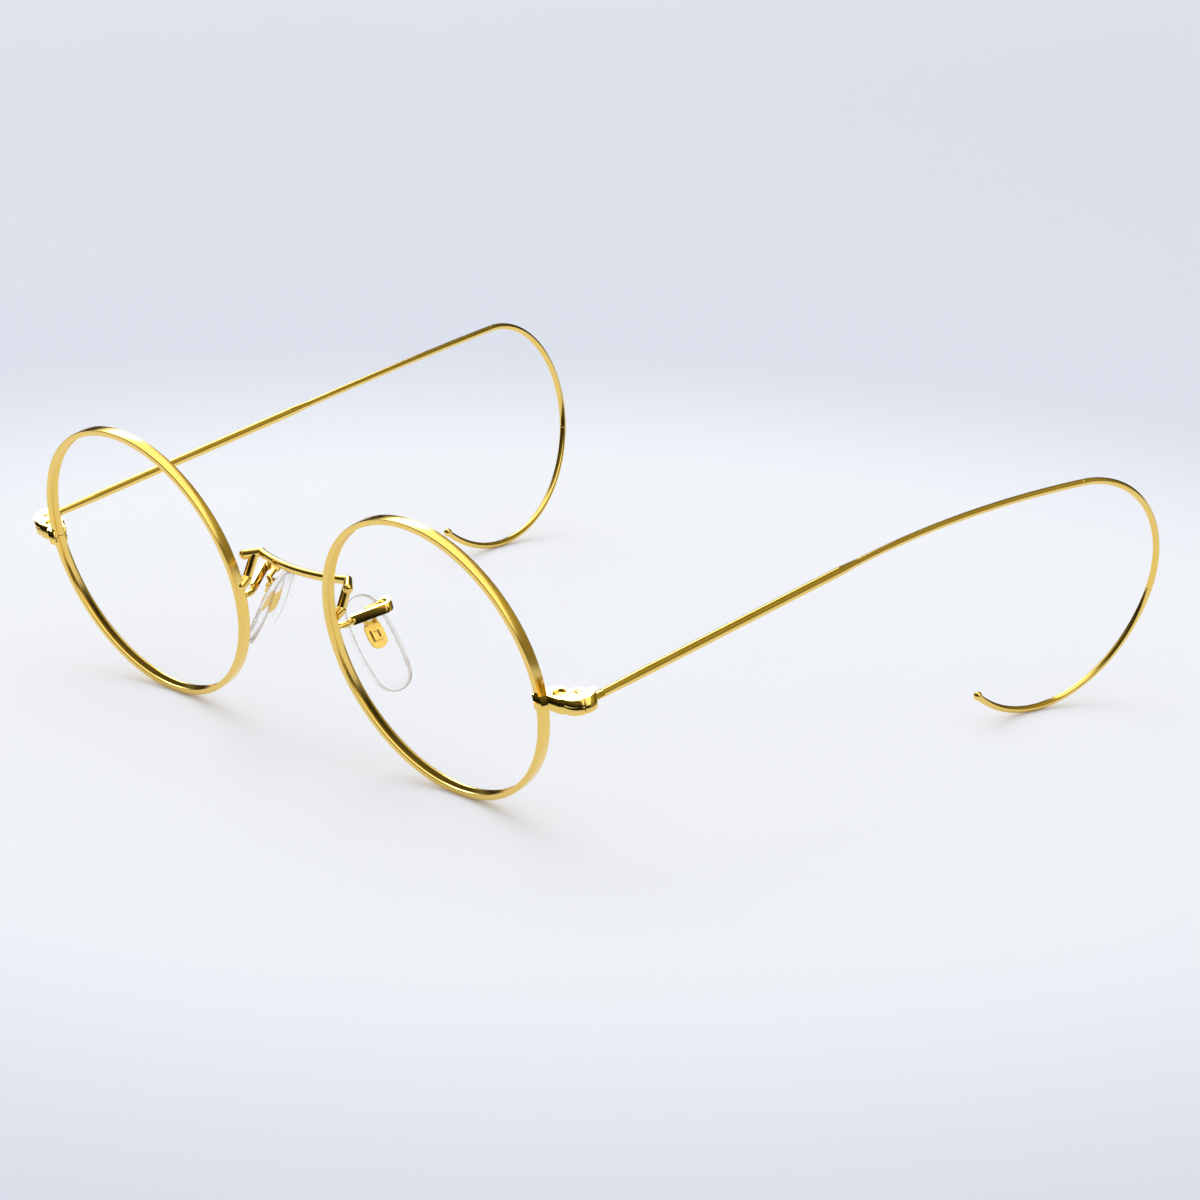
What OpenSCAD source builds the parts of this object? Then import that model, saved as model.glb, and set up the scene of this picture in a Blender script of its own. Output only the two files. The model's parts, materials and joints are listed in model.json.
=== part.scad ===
// Round wire spectacle frame with curl sides and clear nose pads.
// Everything is first placed in the frame of the lens plane: X across the face,
// Y from the lens plane back along the sides, Z up in the lens plane.
// The whole frame then leans forward until rims and curls stand on one surface.
// Left and right are the wearer's, so the left side is at plus X.

/* [Rims] */
// Diameter of the lens opening inside a rim
lens_opening_d = 44.1; // [40:0.1:50]
// Radial thickness of the rim
rim_wall = 0.95; // [0.9:0.05:1.4]
// Depth of the rim from front to back
rim_depth = 1.8; // [1.6:0.1:2.4]
// Depth of the groove that holds the lens edge
groove_depth = 0.45; // [0.3:0.05:0.5]
// Width of the groove at its mouth
groove_w = 1.1; // [0.8:0.1:1.2]
// Distance between the two rims at the nose
rim_gap = 20.6; // [18:0.1:26]

/* [Joint blocks] */
// Height of the two block halves together
block_h = 2.5; // [2.3:0.1:3.2]
// Depth of the block behind its front face
block_depth = 3.15; // [3.05:0.05:3.6]
// Distance from the rim's outside to the hinge axis
hinge_reach = 4.8; // [4.7:0.1:5.6]
// Distance from the lens plane to the block's front face
block_setback = 0.5; // [0.3:0.1:0.8]
// Distance of the hinge axis behind the block's front face
hinge_setback = 2.7; // [2.6:0.05:2.8]
// Gap between the two block halves
closing_gap = 0.1; // [0.06:0.02:0.2]
// Height of the hinge tongue
tongue_h = 0.9; // [0.7:0.05:1.1]
// Radius of the round hinge leaves
leaf_r = 1.6; // [1.4:0.05:1.7]
// Clearance between the tongue and the leaves, and round the leaves
leaf_clearance = 0.12; // [0.08:0.01:0.15]
// How far the joint block's middle lies below the rim's middle
block_drop = 0.65; // [0.4:0.05:1]
// Distance of the closing screw from the rim's outside
closing_screw_reach = 2.4; // [2.2:0.1:2.6]

/* [Screws] */
// Diameter of the closing screw's shank
closing_shank_d = 1.0; // [0.8:0.1:1.2]
// Diameter of the closing screw's head
closing_head_d = 2.0; // [1.7:0.1:2.1]
// Diameter of the hinge screw's shank
hinge_shank_d = 0.9; // [0.7:0.1:1]
// Diameter of the hinge screw's head
hinge_head_d = 1.6; // [1.4:0.1:1.8]
// Height of both screw heads
screw_head_h = 0.35; // [0.3:0.05:0.4]
// How far the closing screw's head lies below the block's top
closing_sink = 0.35; // [0.05:0.05:0.4]
// How far the hinge screw's head lies below the block's top
hinge_sink = 0.05; // [0:0.01:0.1]
// Depth of the driver slots
slot_depth = 0.2; // [0.15:0.01:0.25]
// Width of the driver slots
slot_w = 0.3; // [0.2:0.05:0.4]
// Radial clearance of a shank in its hole
shank_clearance = 0.04; // [0.02:0.01:0.06]
// Clearance round a screw head in its recess
head_clearance = 0.06; // [0.04:0.01:0.1]

/* [Bridge] */
// Diameter of the bridge bar
bridge_d = 1.35; // [1.2:0.05:1.8]
// Diameter of the bar's short end arms at their tips
bridge_arm_d = 1.6; // [1.4:0.05:2]
// Height of the bar above the middle of the rims
bridge_height = 4.8; // [4:0.1:8]
// Distance of the bar's elbows behind the lens plane
bridge_elbow_setback = 6.15; // [5.5:0.05:8]
// Distance of each elbow from the middle
bridge_elbow_x = 10; // [9:0.1:10.5]
// How far the bar bows forward between its elbows
bridge_bow = 1.55; // [1:0.05:3]
// Length of the end arms from elbow to tip
bridge_arm_length = 2.75; // [2.4:0.05:3.2]
// Angle of the end arms forward from straight out
bridge_arm_angle = 43; // [35:1:50]
// Diameter of the bridge posts
post_d = 1.45; // [1.2:0.05:1.6]
// Diameter of a post's foot on the rim
post_foot_d = 1.7; // [1.5:0.1:1.8]
// Where the post meets the end arm, as a share of the arm's length
post_share = 0.4; // [0.3:0.05:0.6]
// Height of the post's foot above the middle of the rims
post_foot_rise = 1.5; // [1.2:0.1:2]

/* [Sides] */
// Diameter of the straight shaft
shaft_d = 1.45; // [1.3:0.05:1.8]
// Diameter of the shaft where it leaves its joint
shaft_root_d = 1.25; // [1.1:0.05:1.3]
// Length over which the shaft grows from there to its full diameter
root_taper = 7; // [4:0.5:10]
// Length of the straight shaft with its tapers
shaft_length = 54.3; // [45:0.1:65]
// Length of the taper at the shaft's end
taper_length = 4; // [2:0.5:8]
// Diameter of the curl wire
curl_d = 1.1; // [1:0.02:1.3]
// Length of the curl's spigot inside the shaft
spigot_length = 2.4; // [2:0.1:3]
// Thickness of the shaft's wall round the spigot
spigot_wall = 0.26; // [0.2:0.01:0.3]
// Radial clearance of the spigot
spigot_clearance = 0.01; // [0.01:0.01:0.04]
// Diameter of the bead at the curl's tip
tip_d = 1.45; // [1.35:0.05:2]
// Angle by which the side drops from square to the lens plane
side_drop = 5.5; // [3:0.1:8]
// Angle by which the side splays outward
side_splay = 0.2; // [0:0.1:3]
// Roll of the long gentle bend, towards the outside
bow_roll = 58; // [0:1:70]
// Radius of the long gentle bend
bow_r = 204; // [160:1:300]
// Angle of the long gentle bend
bow_angle = 13.4; // [8:0.1:15]
// Roll of the curl against the long gentle bend
curl_roll = 66.5; // [45:0.5:75]
// Radius of the curl behind the ear
curl_r = 17.7; // [15:0.1:21]
// Angle of the curl behind the ear
curl_angle = 105; // [85:1:115]
// Roll of the curl's end against the curl, with minus towards the outside
curl_end_roll = -4.7; // [-10:0.1:10]
// Radius of the curl's end
curl_end_r = 21.5; // [18:0.1:25]
// Angle of the curl's end
curl_end_angle = 117; // [100:1:130]

/* [Nose pads] */
// Length of a nose pad
pad_length = 16; // [14:0.1:17]
// Width of a nose pad
pad_width = 6.9; // [6.8:0.1:8.5]
// Thickness of a nose pad
pad_thickness = 2.1; // [1.8:0.1:2.6]
// Radius of the pad's round ends
pad_end_r = 3; // [2.5:0.1:3.2]
// Angle by which the pads spread towards the bottom
pad_frontal_angle = 35; // [20:1:38]
// Angle by which the pads open towards the back
pad_splay_angle = 12; // [8:1:30]
// Distance of a pad's middle from the middle of the nose
pad_x = 12.1; // [11:0.1:14]
// Distance of a pad's middle behind the lens plane
pad_setback = 7.3; // [7:0.1:9]
// Distance of a pad's middle below the middle of the rims
pad_drop = 6.3; // [6:0.1:8]
// Width of the gold plate on the pad
plate_w = 2.9; // [2.8:0.1:4]
// Length of the gold plate on the pad
plate_length = 4.5; // [4.2:0.1:5.2]
// Thickness of the gold plate
plate_t = 0.5; // [0.4:0.05:0.7]
// How far the plate's middle lies above the pad's middle
plate_rise = 1.3; // [1:0.1:1.8]
// How far the plate's long sides bulge
plate_side_bulge = 0.35; // [0.2:0.05:0.4]
// How far the plate's ends bulge
plate_end_bulge = 0.45; // [0.2:0.05:0.5]
// Width of the raised box on the plate
box_w = 1.5; // [1.2:0.1:1.8]
// Length of that box
box_length = 1.8; // [1.5:0.1:2]
// Height of that box above the middle of the plate's thickness
box_h = 0.7; // [0.6:0.05:0.9]
// How far the box's middle lies below the plate's middle
box_drop = 0.1; // [0:0.05:0.2]
// Thickness of the box's walls
box_wall = 0.3; // [0.2:0.05:0.35]

/* [Pad arms] */
// Diameter of the arm's root between the rim and the strip
arm_root_d = 1; // [0.9:0.05:1.4]
// Height of the arm's flat strip
strip_h = 1.6; // [1.2:0.1:2]
// Thickness of the arm's flat strip
strip_t = 0.6; // [0.5:0.05:0.8]
// Length of the strip's straight limb
strip_length = 5.2; // [5:0.1:6]
// Distance along the strip's line from the rim to where the strip starts
strip_reach = 1; // [0.8:0.1:1.4]
// Drop of the arm's neck between the rim and the strip
neck_drop = 0.35; // [0.1:0.05:0.5]
// Angle of the strip from straight out, towards the back
strip_yaw = 61; // [56:1:66]
// Angle by which the strip climbs
strip_pitch = 5; // [2:1:12]
// Radius of the strip's turn at its far end
turn_r = 1; // [0.8:0.05:1.3]
// Diameter of the wire from the turn to the pad
stem_d = 0.9; // [0.7:0.05:1.1]
// Diameter of the pin that the pad rocks on
pad_pin_d = 0.5; // [0.4:0.05:0.6]
// Outside diameter of the eye round that pin
pad_eye_d = 1.2; // [1.1:0.05:1.4]
// Width of that eye
pad_eye_w = 0.9; // [0.7:0.05:1.1]
// Thickness of each of the plate's two ears
pad_ear_t = 0.4; // [0.3:0.05:0.6]
// How far the pin stands out of each ear
pad_pin_reach = 0.05; // [0.02:0.01:0.1]
// Distance of the stem's bend from the pin, both outward and up
stem_bend = 0.9; // [0.8:0.05:1.1]
// Clearance between the eye and each ear
pad_ear_gap = 0.12; // [0.1:0.01:0.15]

/* [Hidden] */
SIDES = ["left", "right"];
BASES = ["eyewire", "block_upper", "block_lower", "closing_screw", "hinge_screw",
         "bridge_post", "pad_arm", "pad_pin", "pad_plate", "nose_pad",
         "side_joint", "side_shaft", "side_curl"];
$fn = 64;

gold = [0.86, 0.66, 0.2];
clear_pad = [0.88, 0.9, 0.93, 0.5];

// Rim values
lens_r = lens_opening_d / 2;
rim_r = lens_r + rim_wall;
rim_x = rim_gap / 2 + rim_r;
outer_x = rim_x + rim_r;

// Block values, with heights measured from the middle of the block
block_top = block_h / 2;
block_front = block_setback;
block_back = block_setback + block_depth;
hinge_x = outer_x + hinge_reach;
hinge_y = block_front + hinge_setback;
hinge_z = -block_drop;
screw_x = outer_x + closing_screw_reach;
screw_y = block_front + block_depth / 2;
butt_r = leaf_r + leaf_clearance;
knuckle_r = 2.35;
butt_face_angle = -21;
butt_end_angle = 72;
butt_shift = [0.2, 0.35];
butt_play_angle = 3;
tongue_play = 0.05;
fold_room_angle = 172;
lug_front = 0.3;
lug_back = 0.3;

// Where the shaft leaves its joint, measured from the hinge axis
shaft_out = 1.6;
shaft_back = 3.3;
shaft_low = 0.15;
shaft_x = hinge_x + shaft_out;
shaft_y = hinge_y + shaft_back;
shaft_z = hinge_z - shaft_low;
shaft_root = 2.6;

// Foot of a bridge post on the rim's back
foot_sunk = 0.4;
foot_reach = 1.1;
foot_climb = 0.55;

// Route of a side's wire, as lengths, rolls, bend radii and bend angles
side_route = [[shaft_length, -bow_roll, bow_r, bow_angle],
              [0, curl_roll, curl_r, curl_angle],
              [0, curl_end_roll, curl_end_r, curl_end_angle]];

// Where two stretches of wire meet, each stops this far short inside a knuckle this much thicker
seam_trim = 0.08;
seam_bulge = 0.04;
arc_trim = 0.1;

// Turns of the direction of travel
function turn_z(a) = [[cos(a), -sin(a), 0], [sin(a), cos(a), 0], [0, 0, 1]];
function turn_y(a) = [[cos(a), 0, sin(a)], [0, 1, 0], [-sin(a), 0, cos(a)]];
function turn_x(a) = [[1, 0, 0], [0, cos(a), -sin(a)], [0, sin(a), cos(a)]];

// Points along a route that runs along its own plus Z and bends towards plus X
function arc_points(r, a) = [for (t = [0:2:a]) [r * (1 - cos(t)), 0, r * sin(t)]];
function route_points(route, i, p, m) =
    i == len(route) ? [p] :
    let (s = route[i],
         q = p + m * [0, 0, s[0]],
         n = m * turn_z(s[1]),
         e = q + n * [s[2] * (1 - cos(s[3])), 0, s[2] * sin(s[3])])
    concat([p], [for (v = arc_points(s[2], s[3])) q + n * v],
           route_points(route, i + 1, e, n * turn_y(s[3])));

// A side starts at its root and travels backward, with its bends facing down
side_turn = turn_z(-side_splay) * turn_x(-side_drop) * turn_x(-90) * turn_z(90);
side_points = route_points(side_route, 0, [shaft_x, shaft_y, shaft_z], side_turn);

// Lean at which the curls and the rims touch one flat surface
function curl_height(a) = min([for (p = side_points) p[1] * sin(a) + p[2] * cos(a)]) - curl_d / 2;
function find_lean(low, high, n) =
    n == 0 ? (low + high) / 2 :
    let (a = (low + high) / 2)
    curl_height(a) < -rim_r * cos(a) ? find_lean(a, high, n - 1) : find_lean(low, a, n - 1);
lean = find_lean(2, 30, 30);
stand_z = rim_r * cos(lean);
front_y = -rim_r * sin(lean);
rear_y = max([for (p = side_points) p[1] * cos(lean) - p[2] * sin(lean)]) + curl_d / 2;
stand_y = -(front_y + rear_y) / 2;

// Pad values, with the pin far enough out for its eye to clear the pad and the plate
pad_dome_r = 26;
eye_room = 0.15;
ear_overlap = 0.65;
plate_x = pad_thickness / 2 + plate_t / 2;
pin_z = plate_rise + plate_length / 2 + pad_eye_d / 2 + eye_room;
pin_x = pad_thickness / 2 + pad_eye_d / 2 + eye_room;
pad_turn = turn_z(-pad_splay_angle) * turn_y(-pad_frontal_angle);
pad_middle = [pad_x, pad_setback, -pad_drop];
pin_place = pad_middle + pad_turn * [pin_x, 0, pin_z];

// Arm values
arm_root = [rim_gap / 2 + 0.4, rim_depth + 0.2, -0.8];
strip_turn = turn_z(strip_yaw) * turn_y(-strip_pitch);
strip_line = [rim_gap / 2 + 0.8, rim_depth + 1.6, -0.8];
arm_neck = strip_line - [0, 0, neck_drop];
strip_start = strip_line + strip_turn * [strip_reach, 0, 0];
stem_start = strip_start + strip_turn * [strip_length, 2 * turn_r, 0];
stem_end = pin_place + pad_turn * [stem_bend, 0, stem_bend];

// Moves children from the frame of the lens plane to the standing position
module stand() {
    translate([0, stand_y, stand_z]) rotate([lean, 0, 0]) children();
}

// Draws children on the wearer's left or, mirrored, on the right
module on_side(side) {
    stand() mirror([side == "right" ? 1 : 0, 0, 0]) children();
}

// Moves children to a point, with their plus Z towards a second point
module towards(a, b) {
    v = b - a;
    translate(a) rotate([0, acos(v[2] / norm(v)), atan2(v[1], v[0])]) children();
}

// Round rod with flat ends between two points
module rod(a, b, d) {
    towards(a, b) cylinder(d = d, h = norm(b - a));
}

// Round rod with round ends between two points, which may taper to a second diameter
module round_rod(a, b, d, tip_d = 0) {
    h = norm(b - a);
    end_d = tip_d > 0 ? tip_d : d;
    widest = max(d, end_d);
    towards(a, b) rotate_extrude() intersection() {
        union() {
            circle(d = d);
            translate([0, h]) circle(d = end_d);
            polygon([[0, 0], [d / 2, 0], [end_d / 2, h], [0, h]]);
        }
        translate([0, -widest]) square([widest, h + 2 * widest]);
    }
}

// Wire that bends along a route from step i on, with a round knuckle where two steps meet
module bent_wire(route, d, i = 0) {
    if (i < len(route)) {
        s = route[i];
        trim = seam_trim / s[2] * 180 / PI;
        if (s[0] > 0) cylinder(d = d, h = s[0] - seam_trim);
        if (i > 0 || s[0] > 0) translate([0, 0, s[0]]) sphere(d = d + seam_bulge);
        translate([0, 0, s[0]]) rotate([0, 0, s[1]]) {
            translate([s[2], 0, 0]) rotate([90, 0, 180]) mirror([0, 0, 1]) rotate([0, 0, trim])
                rotate_extrude(angle = s[3] - 2 * trim, $fn = 360)
                    translate([s[2], 0]) circle(d = d);
            translate([s[2] * (1 - cos(s[3])), 0, s[2] * sin(s[3])]) rotate([0, s[3], 0])
                bent_wire(route, d, i + 1);
        }
    }
}

// Full ring of the rim, without its slit
module rim_ring() {
    half = groove_w / 2;
    middle = rim_depth / 2;
    translate([rim_x, 0, 0]) rotate([-90, 0, 0]) rotate_extrude($fn = 180)
        polygon([[lens_r, 0], [rim_r, 0], [rim_r, rim_depth], [lens_r, rim_depth],
                 [lens_r, middle + half], [lens_r + groove_depth, middle], [lens_r, middle - half]]);
}

// Solid band that a piece on the rim is cut back to
module rim_band() {
    translate([rim_x, 0, 0]) rotate([-90, 0, 0]) difference() {
        cylinder(r = rim_r, h = rim_depth, $fn = 180);
        translate([0, 0, -1]) cylinder(r = lens_r - 1, h = rim_depth + 2, $fn = 180);
    }
}

// Rim, open at the joint block
module eyewire() {
    difference() {
        rim_ring();
        translate([outer_x - 2, -1, hinge_z - closing_gap / 2])
            cube([3, rim_depth + 2, closing_gap]);
    }
}

// Plan of the joint block: a lug on the rim, a neck and a round knuckle about the hinge
module block_plan() {
    lug_x = rim_x + lens_r;
    neck_x = outer_x + 1.3;
    polygon([[lug_x, -lug_front], [outer_x + 0.7, -lug_front], [neck_x, block_front],
             [hinge_x - 1.2, block_front], [hinge_x - 0.3, hinge_y - knuckle_r], [hinge_x, hinge_y],
             [hinge_x - 1.2, block_back], [neck_x, block_back], [outer_x + 0.5, rim_depth + 1],
             [lug_x, rim_depth + lug_back]]);
    translate([hinge_x, hinge_y]) circle(r = knuckle_r);
}

// Sector about the hinge axis
module hinge_sector(from, to) {
    reach = 8;
    rays = [for (i = [0:6]) from + (to - from) * i / 6];
    translate([hinge_x, hinge_y]) polygon(concat([[0, 0]], [for (a = rays) reach * [cos(a), sin(a)]]));
}

// One half of the block between two heights, with its leaf, still without its holes
module block_half(low, high) {
    leaf_low = low < -1 ? low : tongue_h / 2 + leaf_clearance / 2;
    leaf_high = low < -1 ? -tongue_h / 2 - leaf_clearance / 2 : high;
    difference() {
        union() {
            translate([0, 0, low]) linear_extrude(high - low) difference() {
                block_plan();
                hinge_sector(butt_face_angle, fold_room_angle);
                translate([hinge_x, hinge_y]) circle(r = butt_r);
            }
            translate([hinge_x, hinge_y, leaf_low]) cylinder(r = leaf_r, h = leaf_high - leaf_low);
            translate([0, 0, leaf_low]) linear_extrude(leaf_high - leaf_low) difference() {
                block_plan();
                hinge_sector(butt_face_angle, fold_room_angle);
            }
        }
        translate([0, 0, -hinge_z]) rim_band();
    }
}

// Clearance hole for a shank, right through the block
module shank_hole(x, y, d) {
    translate([x, y, -block_h]) cylinder(d = d + 2 * shank_clearance, h = 2 * block_h);
}

module block_upper() {
    color(gold) translate([0, 0, hinge_z]) difference() {
        block_half(closing_gap / 2, block_top);
        shank_hole(screw_x, screw_y, closing_shank_d);
        translate([screw_x, screw_y, block_top - screw_head_h - closing_sink])
            cylinder(d = closing_head_d + 2 * head_clearance, h = block_h);
        shank_hole(hinge_x, hinge_y, hinge_shank_d);
        translate([hinge_x, hinge_y, block_top - screw_head_h - hinge_sink])
            cylinder(d = hinge_head_d + 2 * head_clearance, h = block_h);
    }
}

module block_lower() {
    color(gold) translate([0, 0, hinge_z]) difference() {
        block_half(-block_top, -closing_gap / 2);
        shank_hole(screw_x, screw_y, closing_shank_d);
        shank_hole(hinge_x, hinge_y, hinge_shank_d);
    }
}

// Slotted screw whose head lies a little below the block's top
module slotted_screw(shank_d, head_d, sink, slot_angle) {
    head_top = block_top - sink;
    difference() {
        union() {
            translate([0, 0, -block_top]) cylinder(d = shank_d, h = head_top + block_top - screw_head_h);
            translate([0, 0, head_top - screw_head_h]) cylinder(d = head_d, h = screw_head_h);
        }
        rotate([0, 0, slot_angle]) translate([-head_d, -slot_w / 2, head_top - slot_depth])
            cube([2 * head_d, slot_w, screw_head_h]);
    }
}

module closing_screw() {
    color(gold) translate([screw_x, screw_y, hinge_z])
        slotted_screw(closing_shank_d, closing_head_d, closing_sink, 40);
}

module hinge_screw() {
    color(gold) translate([hinge_x, hinge_y, hinge_z])
        slotted_screw(hinge_shank_d, hinge_head_d, hinge_sink, -20);
}

// Part of the hinge that turns with the side: a tongue, a rounded butt and the shaft's root
module side_joint() {
    color(gold) difference() {
        union() {
            difference() {
                union() {
                    translate([0, 0, hinge_z - block_top]) linear_extrude(block_h) intersection() {
                        translate([hinge_x, hinge_y] + butt_shift) circle(r = knuckle_r);
                        hinge_sector(butt_face_angle + butt_play_angle, butt_end_angle);
                    }
                    along_side() translate([0, 0, -shaft_root])
                        cylinder(d = shaft_root_d, h = shaft_root);
                }
                translate([hinge_x, hinge_y, hinge_z - block_h]) cylinder(r = butt_r, h = 2 * block_h);
            }
            translate([0, 0, hinge_z - tongue_h / 2]) linear_extrude(tongue_h) {
                translate([hinge_x, hinge_y]) circle(r = leaf_r - tongue_play);
                intersection() {
                    translate([hinge_x, hinge_y]) circle(r = butt_r + 0.2);
                    hinge_sector(butt_face_angle + 2 * butt_play_angle, butt_end_angle - butt_play_angle);
                }
            }
        }
        translate([hinge_x, hinge_y, hinge_z - block_h])
            cylinder(d = hinge_shank_d + 2 * shank_clearance, h = 2 * block_h);
    }
}

// Direction in which a side leaves its joint
module along_side() {
    translate([shaft_x, shaft_y, shaft_z]) rotate([0, 0, -side_splay]) rotate([-side_drop, 0, 0])
        rotate([-90, 0, 0]) rotate([0, 0, 90]) children();
}

module side_shaft() {
    socket = spigot_length + 0.1;
    color(gold) along_side() difference() {
        union() {
            cylinder(d1 = shaft_root_d, d2 = shaft_d, h = root_taper);
            translate([0, 0, root_taper])
                cylinder(d = shaft_d, h = shaft_length - taper_length - root_taper);
            translate([0, 0, shaft_length - taper_length])
                cylinder(d1 = shaft_d, d2 = curl_d, h = taper_length);
        }
        translate([0, 0, shaft_length - socket])
            cylinder(d = curl_d - 2 * spigot_wall + 2 * spigot_clearance, h = socket + 1);
    }
}

module side_curl() {
    color(gold) along_side() {
        translate([0, 0, shaft_length - spigot_length])
            cylinder(d = curl_d - 2 * spigot_wall, h = spigot_length + 0.5);
        translate([0, 0, shaft_length])
            bent_wire([[0, -bow_roll, bow_r, bow_angle], side_route[1], side_route[2]], curl_d);
    }
    color(gold) translate(side_points[len(side_points) - 1]) sphere(d = tip_d);
}

// Bridge bar: a shallow bow between two elbows, with a short round arm at each end
module bridge_bar() {
    bow_radius = (pow(bridge_elbow_x, 2) + pow(bridge_bow, 2)) / (2 * bridge_bow);
    bow_half = asin(bridge_elbow_x / bow_radius);
    color(gold) stand() {
        translate([0, bridge_elbow_setback - bridge_bow + bow_radius, bridge_height])
            rotate([0, 0, -90 - bow_half]) rotate_extrude(angle = 2 * bow_half, $fn = 180)
                translate([bow_radius, 0]) circle(d = bridge_d);
        for (s = [-1, 1]) {
            elbow = [s * bridge_elbow_x, bridge_elbow_setback, bridge_height];
            tip = elbow + bridge_arm_length * [s * cos(bridge_arm_angle), -sin(bridge_arm_angle), 0];
            round_rod(elbow, tip, bridge_d + seam_bulge, bridge_arm_d);
        }
    }
}

// Post from the rim's back up to the bar's end arm, with a short round foot on the rim
module bridge_post() {
    sole = [rim_gap / 2 + 0.45, rim_depth - foot_sunk, post_foot_rise - foot_climb];
    foot = [rim_gap / 2 + 0.6, rim_depth + foot_reach, post_foot_rise];
    along = bridge_arm_length * post_share;
    elbow = [bridge_elbow_x, bridge_elbow_setback, bridge_height];
    arm_way = [cos(bridge_arm_angle), -sin(bridge_arm_angle), 0];
    top = elbow + along * arm_way;
    color(gold) difference() {
        union() {
            rod(foot, top, post_d);
            round_rod(sole, foot, post_foot_d);
        }
        rim_band();
        round_rod(elbow, elbow + bridge_arm_length * arm_way, bridge_d + seam_bulge, bridge_arm_d);
    }
}

// Moves children into the frame of a pad: X out of its plate side, Z up its length
module at_pad() {
    translate(pad_middle) rotate([0, -pad_frontal_angle, -pad_splay_angle]) children();
}

// Arm of the nose pad: root on the rim, flat strip, turn, stem and eye
module pad_arm() {
    color(gold) difference() {
        union() {
            round_rod(arm_root, arm_neck, arm_root_d);
            round_rod(arm_neck, strip_start, arm_root_d - seam_bulge);
            translate(strip_start) rotate([0, -strip_pitch, strip_yaw]) {
                cylinder(d = strip_t, h = strip_h, center = true);
                translate([0, -strip_t / 2, -strip_h / 2]) cube([strip_length, strip_t, strip_h]);
                translate([strip_length, turn_r, 0]) rotate([0, 0, -90]) rotate_extrude(angle = 180)
                    translate([turn_r - strip_t / 2, -strip_h / 2]) square([strip_t, strip_h]);
            }
            translate(stem_start) sphere(d = strip_h);
            round_rod(stem_start, stem_end, stem_d);
            round_rod(stem_end, pin_place, stem_d - seam_bulge);
            at_pad() translate([pin_x, 0, pin_z]) rotate([90, 0, 0])
                cylinder(d = pad_eye_d, h = pad_eye_w, center = true);
        }
        rim_band();
        at_pad() translate([pin_x, 0, pin_z]) rotate([90, 0, 0])
            cylinder(d = pad_pin_d + 2 * shank_clearance, h = 2 * pad_eye_w, center = true);
    }
}

module pad_pin() {
    pin_length = pad_eye_w + 2 * (pad_ear_gap + pad_ear_t + pad_pin_reach);
    color(gold) at_pad() translate([pin_x, 0, pin_z]) rotate([90, 0, 0])
        cylinder(d = pad_pin_d, h = pin_length, center = true);
}

// Oval outline with its length along Y and its width along X. The side arcs stop just
// short of the point where they touch the round ends, so that the outlines really cross.
module oval(length, width, end_r) {
    end_y = length / 2 - end_r;
    arc_r = (pow(width / 2, 2) + pow(end_y, 2) - pow(end_r, 2)) / (width - 2 * end_r);
    arc_x = arc_r - width / 2;
    touch_y = end_y * arc_r / (arc_r - end_r) - arc_trim;
    for (s = [-1, 1]) translate([0, s * end_y]) circle(r = end_r);
    intersection() {
        translate([-arc_x, 0]) circle(r = arc_r, $fn = 180);
        translate([arc_x, 0]) circle(r = arc_r, $fn = 180);
        square([2 * width, 2 * touch_y], center = true);
    }
}

// Outline of the gold plate: two shallow side arcs, closed at each end by a rounder arc
module plate_outline() {
    side_r = (pow(plate_length / 2, 2) + pow(plate_side_bulge, 2)) / (2 * plate_side_bulge);
    intersection() {
        translate([plate_w / 2 - side_r, 0]) circle(r = side_r, $fn = 180);
        translate([side_r - plate_w / 2, 0]) circle(r = side_r, $fn = 180);
        plate_end();
        mirror([0, 1]) plate_end();
    }
}

// Everything below the arc that closes the plate's upper end
module plate_end() {
    end_r = (pow(plate_w / 2 - plate_side_bulge, 2) + pow(plate_end_bulge, 2)) / (2 * plate_end_bulge);
    translate([0, plate_length / 2 - end_r]) {
        circle(r = end_r, $fn = 180);
        translate([-2 * plate_w, -3 * plate_length]) square([4 * plate_w, 3 * plate_length]);
    }
}

// Gold plate on the pad, with a raised box and two ears for the pin
module pad_plate() {
    ear_y = pad_eye_w / 2 + pad_ear_gap;
    box_foot = plate_rise - box_drop - box_length / 2;
    ear_foot = plate_rise + plate_length / 2 - ear_overlap;
    color(gold) at_pad() difference() {
        union() {
            translate([plate_x - plate_t / 2, 0, plate_rise]) rotate([90, 0, 90])
                linear_extrude(plate_t) plate_outline();
            translate([plate_x, -box_w / 2, box_foot]) cube([box_h, box_w, box_length]);
            for (s = [-1, 1]) translate([0, s * (ear_y + pad_ear_t / 2), 0]) {
                translate([pin_x, 0, pin_z]) rotate([90, 0, 0])
                    cylinder(d = pad_eye_d, h = pad_ear_t, center = true);
                translate([plate_x - plate_t / 2, -pad_ear_t / 2, ear_foot])
                    cube([pin_x - plate_x + plate_t / 2 + 0.3, pad_ear_t, pin_z - ear_foot - 0.1]);
            }
        }
        translate([plate_x + box_wall, box_wall - box_w / 2, box_foot + box_wall])
            cube([box_h, box_w - 2 * box_wall, box_length - 2 * box_wall]);
        translate([pin_x, 0, pin_z]) rotate([90, 0, 0])
            cylinder(d = pad_pin_d + 2 * shank_clearance, h = 2 * plate_w, center = true);
    }
}

// Clear pad, flat under its plate and domed towards the nose
module nose_pad() {
    color(clear_pad) at_pad() intersection() {
        translate([-pad_thickness, 0, 0]) rotate([90, 0, 90])
            linear_extrude(1.5 * pad_thickness) oval(pad_length, pad_width, pad_end_r);
        translate([pad_dome_r - pad_thickness / 2, 0, 0]) sphere(r = pad_dome_r, $fn = 180);
    }
}

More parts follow.
